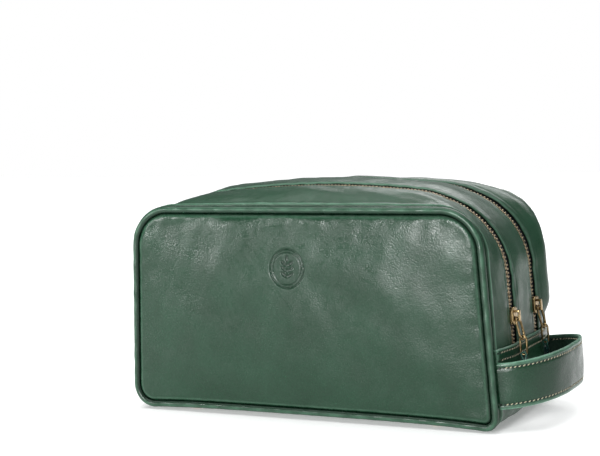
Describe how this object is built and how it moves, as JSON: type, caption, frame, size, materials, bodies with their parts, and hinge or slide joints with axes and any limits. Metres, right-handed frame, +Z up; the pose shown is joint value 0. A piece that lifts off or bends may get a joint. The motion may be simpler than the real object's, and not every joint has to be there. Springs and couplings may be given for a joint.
{
  "type": "toiletry bag",
  "caption": "Pillowed leather wash bag with piped edges, zipped compartments along a domed top, domed base feet and a sewn wrist strap at one end.",
  "frame": {"origin": "on the resting plane under the feet, below the middle of the whole box", "axes": "+X along the bag towards the wrist strap, +Y from the front panel to the back panel, +Z up"},
  "size_m": [0.3044, 0.114, 0.1515],
  "materials": {
    "panel_leather": "smooth waxed leather, soft sheen",
    "gusset_leather": "smooth waxed leather, soft sheen",
    "piping_leather": "rolled leather, lightly rubbed",
    "strap_leather": "smooth waxed leather, rubbed edges",
    "strap_lining_leather": "plain leather",
    "tab_leather": "dark teal leather",
    "zip_tape": "woven herringbone tape",
    "antique_brass": "antique brass, darkened in the recesses",
    "lining_fabric": "plain woven lining",
    "board": "pressed fibre board"
  },
  "bodies": {
    "bag": {"front_panel": "panel_leather", "back_panel": "panel_leather", "front_piping": "piping_leather", "back_piping": "piping_leather", "front_gusset": "gusset_leather", "centre_gusset": "gusset_leather", "back_gusset": "gusset_leather", "plain_end_panel": "gusset_leather", "strap_end_panel": "gusset_leather", "base_panel": "gusset_leather", "base_board": "board", "divider": "lining_fabric", "front_lining": "lining_fabric", "back_lining": "lining_fabric", "front_zip_tape": "zip_tape", "back_zip_tape": "zip_tape", "front_zip_teeth": "antique_brass", "back_zip_teeth": "antique_brass", "strap_outer": "strap_leather", "strap_inner": "strap_lining_leather", "feet": "antique_brass", "foot_washers": "antique_brass"},
    "front_slider": {"front_slider": "antique_brass"},
    "front_pull": {"front_pull": "antique_brass"},
    "front_link": {"front_pull_link": "antique_brass"},
    "front_tab": {"front_pull_tab": "tab_leather"},
    "back_slider": {"back_slider": "antique_brass"},
    "back_pull": {"back_pull": "antique_brass"},
    "back_link": {"back_pull_link": "antique_brass"},
    "back_tab": {"back_pull_tab": "tab_leather"}
  },
  "joints": [
    {"name": "front_slider_slide", "type": "slide", "parent": "bag", "child": "front_slider", "axis": [-0.0566, 0, 0.9984], "range_m": [0, 0.02]},
    {"name": "front_pull_swing", "type": "hinge", "parent": "front_slider", "child": "front_pull", "pos_m": [0.12169, -0.0215, 0.06816], "axis": [0, -1, 0], "range_deg": [0, 110]},
    {"name": "front_link_swing", "type": "hinge", "parent": "front_pull", "child": "front_link", "pos_m": [0.12514, -0.0215, 0.05407], "axis": [0, -1, 0], "range_deg": [0, 80]},
    {"name": "front_tab_swing", "type": "hinge", "parent": "front_link", "child": "front_tab", "pos_m": [0.12569, -0.0215, 0.04439], "axis": [0.9984, 0, 0.0566], "range_deg": [-60, 60]},
    {"name": "back_slider_slide", "type": "slide", "parent": "bag", "child": "back_slider", "axis": [-0.0566, 0, 0.9984], "range_m": [0, 0.02]},
    {"name": "back_pull_swing", "type": "hinge", "parent": "back_slider", "child": "back_pull", "pos_m": [0.12169, 0.0215, 0.06816], "axis": [0, -1, 0], "range_deg": [0, 110]},
    {"name": "back_link_swing", "type": "hinge", "parent": "back_pull", "child": "back_link", "pos_m": [0.12514, 0.0215, 0.05407], "axis": [0, -1, 0], "range_deg": [0, 80]},
    {"name": "back_tab_swing", "type": "hinge", "parent": "back_link", "child": "back_tab", "pos_m": [0.12569, 0.0215, 0.04439], "axis": [0.9984, 0, 0.0566], "range_deg": [-60, 60]}
  ]
}
